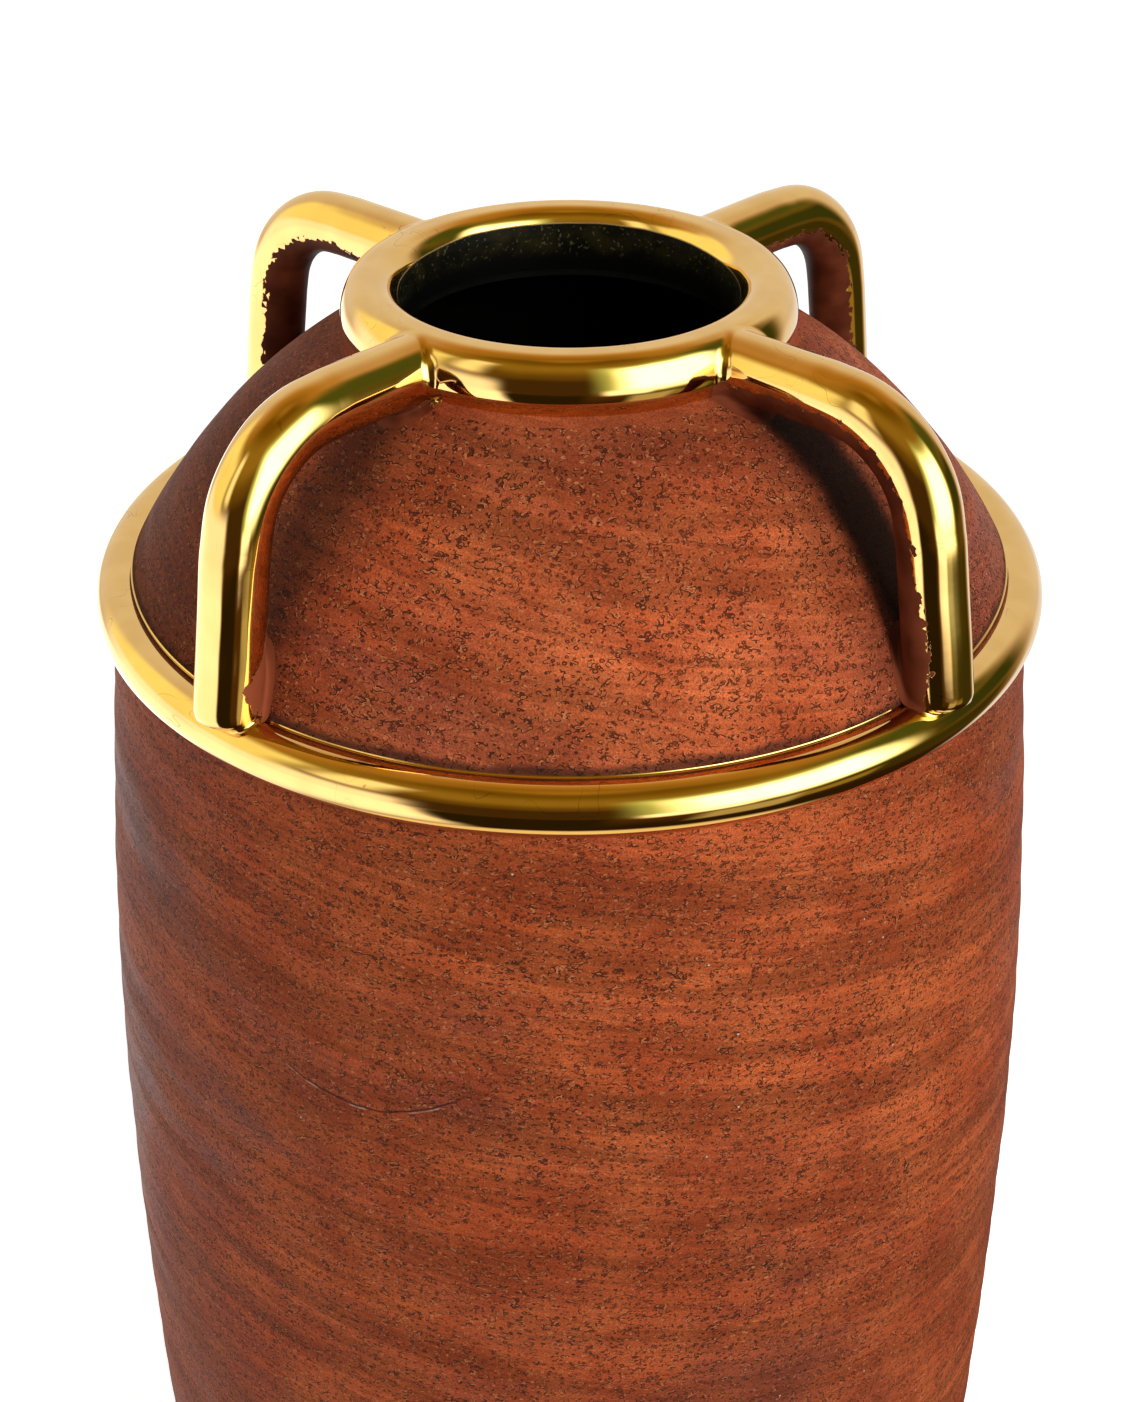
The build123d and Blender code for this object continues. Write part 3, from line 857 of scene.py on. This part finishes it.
def handle_rows(edge_at):
    theta = np.linspace(0, 2 * math.pi, AROUND, endpoint=False)
    under = 0.5 - 0.5 * np.cos(theta)
    top = np.clip((np.abs((theta + math.pi) % (2 * math.pi) - math.pi) - 0.3) / 0.9, 0, 1)
    k_head = 0.9 + 1.9 * top * top * (3 - 2 * top) + 1.4 * under
    k_foot = 1.1 + 2.4 * under**2
    rows, places = [], []
    shares = np.linspace(1, -1, 15)
    head = [head_row(theta, np.full(AROUND, w), k_head) for w in shares]
    for row in head:
        rows.append(row)
        places.append(np.zeros(AROUND))
    s0 = BEND_FROM
    for t in np.linspace(0, 1, 14)[1:]:
        row = head[-1].copy()
        row[:, 0] += (s0 - row[:, 0]) * t
        rows.append(row)
        places.append(np.full(AROUND, 30.0 * t))
    for turn in np.linspace(0, TURN, 54)[1:]:
        n1 = np.array([math.sin(turn), math.cos(turn)])
        c = BEND_C + BEND * n1
        rows.append(np.stack([c[0] + HANDLE * np.cos(theta) * n1[0], HANDLE * np.sin(theta), c[1] + HANDLE * np.cos(theta) * n1[1]], 1))
        places.append(np.full(AROUND, 30.0 + BEND * turn))
    foot = [foot_row(theta, np.full(AROUND, w), k_foot) for w in shares[::-1]]
    t_first = foot[0][1]
    p_bend = float(np.linalg.norm(FOOT_AT - BEND_END))
    t_bend = 40.0 - p_bend
    a0 = np.zeros(AROUND)
    for s in np.linspace(0, 1, 34)[1:-1]:
        t = t_bend + (t_first - t_bend) * s
        q = np.where(t <= 37.0, HANDLE, 0)
        q, p = foot_profile_at(t, a0)
        rows.append(np.stack(foot_frame(q, p, theta), 1))
        places.append(80.0 + 50.0 * s + a0)
    first = len(head) - 1
    at = np.array([place[0] for place in places[first:]])
    rows[first:] = eased(rows[first:], at, (30.0, 30.0 + BEND * TURN))
    for i, (row, at) in enumerate(foot):
        rows.append(row)
        places.append(np.full(AROUND, 130.0))
    return theta, rows, places


def make_handle(name, turn_deg, lean_deg, edges, seed):
    """One handle. edges gives the bare clay's border, in degrees from the top, by place."""
    theta, rows, places = handle_rows(edges)
    n_rows = len(rows)
    p = np.concatenate(rows)
    place_at = np.concatenate(places)
    th = np.tile(theta, n_rows)
    signed = np.degrees((th + math.pi) % (2 * math.pi) - math.pi)
    right = np.interp(place_at, edges["at"], edges["right"])
    left = np.interp(place_at, edges["at"], edges["left"])
    limit = np.where(signed >= 0, right, left)
    edge = (np.abs(signed) - limit) * math.pi / 180 * HANDLE
    rho = np.hypot(p[:, 0], p[:, 1])
    edge = np.maximum(edge, 1.6 - to_clay(rho, p[:, 2]) * 1.0)
    # Rows on the lip stay gold.
    on_lip = to_circle(rho, p[:, 2], (LIP_RING, LIP_Z), LIP_COIL)
    edge = np.where((on_lip < 1.2) & (p[:, 2] > SEAT_Z), np.minimum(edge, -1.5), edge)
    # Handmade unevenness fades out at both ends.
    hold = np.clip(place_at / 20.0, 0, 1) * np.clip((130.0 - place_at) / 25.0, 0, 1)
    row_of = np.repeat(np.arange(n_rows), AROUND)
    centre = np.array([r.mean(0) for r in rows])[row_of]
    out = p - centre
    out /= np.linalg.norm(out, axis=1)[:, None]
    p = p + out * (0.16 * wobble(p, 26.0, seed) * hold)[:, None]
    # The foot stands a little to one side of the head.
    lean = math.radians(lean_deg) * np.clip((rho - 75.0) / (RING - 75.0), 0, 1) ** 1.5
    angle = np.arctan2(p[:, 1], p[:, 0]) + lean + math.radians(turn_deg)
    rho = np.hypot(p[:, 0], p[:, 1])
    p = np.stack([rho * np.cos(angle), rho * np.sin(angle), p[:, 2]], 1)
    faces = []
    for i in range(n_rows - 1):
        for j in range(AROUND):
            a, b = i * AROUND + j, i * AROUND + (j + 1) % AROUND
            faces.append((a, b, b + AROUND, a + AROUND))
    turn = math.radians(turn_deg)
    caps = [
        (LIP_RING * math.cos(turn), LIP_RING * math.sin(turn), LIP_Z - 2.0),
        ((RING - 2) * math.cos(turn + math.radians(lean_deg)), (RING - 2) * math.sin(turn + math.radians(lean_deg)), RING_Z),
    ]
    n = len(p)
    p = np.concatenate([p, caps])
    edge = np.concatenate([edge, [0, 0]])
    last = (n_rows - 1) * AROUND
    for j in range(AROUND):
        k = (j + 1) % AROUND
        faces.append((n, k, j))
        faces.append((n + 1, last + j, last + k))
    obj = mesh_object(name, p, faces, {"bare_edge": edge})
    obj.data.materials.append(GOLD)
    tidy(obj, sharp=60.0)
    return keep(obj, [name])


EVEN = {"at": [0, 30, 80, 130], "right": [112, 108, 112, 115], "left": [112, 108, 112, 115]}
RIGHT = {
    "at": [0, 30, 60, 80, 100, 112, 120, 130],
    "right": [112] * 8,
    "left": [100, 98, 94, 88, 76, 64, 74, 84],
}
FRONT = {
    "at": [0, 30, 80, 104, 111, 115, 119, 123, 130],
    "right": [150, 150, 150, 144, 122, 96, 74, 84, 104],
    "left": [112] * 9,
}
make_handle("handle_right", 0, 0.3, RIGHT, 11)
make_handle("handle_back", 90, 0.0, EVEN, 12)
make_handle("handle_left", 180, 0.0, EVEN, 13)
make_handle("handle_front", 270, 0.6, FRONT, 14)


# ---------------------------------------------------------------- studio
def stage_mesh(name, verts, faces, mat):
    obj = mesh_object(name, np.array(verts, float) / MM, faces)
    obj.data.materials.append(mat)
    return obj


floor_mat, n, shader = material("pale_floor")
shader.inputs["Base Color"].default_value = (0.86, 0.86, 0.86, 1)
shader.inputs["Roughness"].default_value = 0.8
path = n.new("ShaderNodeLightPath")
n.feed(shader, "Emission Color", (1, 1, 1, 1))
n.feed(shader, "Emission Strength", n.math("MULTIPLY", path.outputs["Is Camera Ray"], 0.74))
floor = stage_mesh("floor", [(-9, -9, 0), (9, -9, 0), (9, 9, 0), (-9, 9, 0)], [(0, 1, 2, 3)], floor_mat)
floor.visible_glossy = False

world = bpy.data.worlds.new("studio")
bpy.context.scene.world = world
world.use_nodes = True
n = Nodes(world.node_tree)
path = n.new("ShaderNodeLightPath")
seen = n.math("MAXIMUM", n.math("MAXIMUM", path.outputs["Is Camera Ray"], path.outputs["Is Glossy Ray"]), path.outputs["Is Transmission Ray"])
back = world.node_tree.nodes["Background"]
n.feed(back, "Color", (1, 1, 1, 1))
n.feed(back, "Strength", n.ramp(seen, 0.0, 1.0, 0.24, 1.0, smooth=False))


def panel_group():
    """A soft-edged light seen in a mirror, by direction in degrees."""
    tree, n, i, o = group(
        "soft_panel",
        [("Azimuth", F, 0.0), ("Elevation", F, 0.0), ("Left", F, -10.0), ("Right", F, 10.0), ("Low", F, -10.0), ("High", F, 10.0), ("Soft", F, 4.0)],
        [("Light", F)],
    )
    soft = i["Soft"]

    def rise(value, at):
        return n.ramp(value, n.math("SUBTRACT", at, soft), n.math("ADD", at, soft))

    def fall(value, at):
        return n.math("SUBTRACT", 1.0, rise(value, at))

    wide = n.math("MULTIPLY", rise(i["Azimuth"], i["Left"]), fall(i["Azimuth"], i["Right"]))
    tall = n.math("MULTIPLY", rise(i["Elevation"], i["Low"]), fall(i["Elevation"], i["High"]))
    n.tree.links.new(n.math("MULTIPLY", wide, tall), o["Light"])
    return tree


PANEL = panel_group()


def surround():
    """The room that the gold mirrors: pale backdrop, two soft lights, dark camera side."""
    mat = bpy.data.materials.new("studio_surround")
    mat.use_nodes = True
    mat.node_tree.nodes.clear()
    n = Nodes(mat.node_tree)
    here = n.new("ShaderNodeTexCoord").outputs["Object"]
    away = n.new("ShaderNodeMapping", Vector=here, Location=(0, 0, -0.65)).outputs["Vector"]
    unit_v = n.tree.nodes.new("ShaderNodeVectorMath")
    unit_v.operation = "NORMALIZE"
    n.feed(unit_v, 0, away)
    xyz = n.new("ShaderNodeSeparateXYZ", Vector=unit_v.outputs[0])
    x, y, z = xyz.outputs
    # Azimuth 0 is towards the camera and grows to the picture's right.
    fx, fy = math.sin(EYE_AZ), -math.cos(EYE_AZ)
    toward = n.math("ADD", n.math("MULTIPLY", x, fx), n.math("MULTIPLY", y, fy))
    aside = n.math("ADD", n.math("MULTIPLY", x, -fy), n.math("MULTIPLY", y, fx))
    az = n.math("MULTIPLY", n.math("ARCTAN2", aside, toward), 180 / math.pi)
    el = n.math("MULTIPLY", n.math("ARCSINE", z), 180 / math.pi)
    # The room behind the camera is dark, a little lighter above the horizon.
    colour = (0.030, 0.016, 0.003)
    for low, high, shade in (
        (-50, -12, (0.105, 0.048, 0.005)),
        (0, 22, (0.17, 0.10, 0.012)),
        (24, 44, (0.37, 0.25, 0.035)),
        (50, 74, (0.22, 0.13, 0.006)),
        (76, 90, (0.45, 0.27, 0.04)),
    ):
        colour = n.mix(n.ramp(el, low, high), colour, shade)

    def light(left, right, low, high, soft, tint, strength):
        nonlocal colour
        mask = place(n, PANEL, Azimuth=az, Elevation=el, Left=left, Right=right, Low=low, High=high, Soft=soft)["Light"]
        colour = n.mix(mask, colour, tuple(c * strength for c in tint))

    white, warm, olive, green = (1, 1, 1), (1.0, 0.90, 0.62), (0.9, 0.85, 0.12), (0.72, 0.95, 0.16)
    cream, amber, lime, lemon = (1.0, 0.96, 0.86), (1.0, 0.55, 0.10), (0.72, 1.0, 0.42), (1.0, 1.0, 0.5)
    # Pale backdrop behind the jar, amber where it rises.
    light(92, 268, -20, 74, 26, amber, 0.62)
    light(-268, -92, -20, 74, 26, amber, 0.62)
    light(122, 238, -14, 48, 16, cream, 0.92)
    light(-238, -112, -14, 48, 16, cream, 0.92)
    # Soft light on the left, higher at its right end.
    light(-125, -34, -60, 10, 9, white, 1.75)
    light(-60, -44, 18, 50, 6, (1.0, 1.0, 0.7), 1.6)
    light(-130, -66, 5, 42, 8, lemon, 1.4)
    light(-34, 12, -12, 20, 6, amber, 0.07)
    # Olive round the light on the right, then the light with its greenish edge.
    light(74, 122, 18, 56, 12, green, 0.14)
    light(84, 122, -14, 20, 9, green, 0.07)
    light(16, 80, -12, 46, 8, lime, 1.25)
    light(26, 76, -8, 38, 9, white, 5.0)
    light(16, 40, -16, -6, 4, white, 2.6)
    light(30, 54, -42, -21, 4, (1.0, 0.93, 0.5), 0.62)
    # What only the legs see, near the floor.
    light(-200, -34, -48, -12, 5, white, 2.0)
    light(-32, 9, -46, -12, 4, (0.9, 0.6, 0.1), 0.03)
    light(58, 118, -36, -14, 6, olive, 0.06)
    light(54, 74, -34, -22, 4, (0.9, 0.7, 0.13), 0.42)
    light(128, 200, -44, -8, 6, white, 1.0)
    # Near floor.
    light(-230, 230, -110, -64, 5, warm, 1.2)
    glow = n.new("ShaderNodeEmission", Color=colour, Strength=1.0)
    out = n.new("ShaderNodeOutputMaterial")
    n.tree.links.new(glow.outputs[0], out.inputs["Surface"])
    bm = bmesh.new()
    bmesh.ops.create_icosphere(bm, subdivisions=5, radius=4.0)
    bmesh.ops.translate(bm, verts=bm.verts, vec=(0, 0, 0.65))
    mesh = bpy.data.meshes.new("studio_surround")
    bm.to_mesh(mesh)
    bm.free()
    mesh.shade_smooth()
    mesh.materials.append(mat)
    obj = bpy.data.objects.new("studio_surround", mesh)
    bpy.context.scene.collection.objects.link(obj)
    for ray in ("camera", "diffuse", "transmission", "volume_scatter", "shadow"):
        setattr(obj, "visible_" + ray, False)


surround()


def softbox(name, az, el, distance, size, watts):
    """An area lamp that faces the shoulder, placed by the picture's azimuth."""
    a, e = EYE_AZ + math.radians(az), math.radians(el)
    aim = Vector((0, 0, 0.52))
    at = aim + distance * Vector((math.sin(a) * math.cos(e), -math.cos(a) * math.cos(e), math.sin(e)))
    lamp = bpy.data.lights.new(name, "AREA")
    lamp.shape, lamp.size, lamp.energy = "DISK", size, watts
    obj = bpy.data.objects.new(name, lamp)
    bpy.context.scene.collection.objects.link(obj)
    obj.location = at
    obj.rotation_euler = (aim - at).to_track_quat("-Z", "Y").to_euler()
    obj.visible_glossy = False
    return obj


softbox("key_right", 31, 32, 1.9, 0.50, 27.0)
softbox("fill_left", -60, 24, 2.2, 1.3, 2.8)
softbox("top", 120, 75, 2.2, 1.2, 5.0)

cam = bpy.data.cameras.new("camera")
cam.sensor_width = 36.0
cam.lens = 2368.0 / 1402.0 * 36.0
cam.shift_x = -8.1 / 1402.0
camera = bpy.data.objects.new("camera", cam)
bpy.context.scene.collection.objects.link(camera)
camera.location = (0.4586, -0.4957, 0.9636)
camera.rotation_euler = (math.radians(90.0 - 31.61), 0.0, EYE_AZ)
bpy.context.scene.camera = camera
bpy.context.scene.view_settings.view_transform = "Standard"
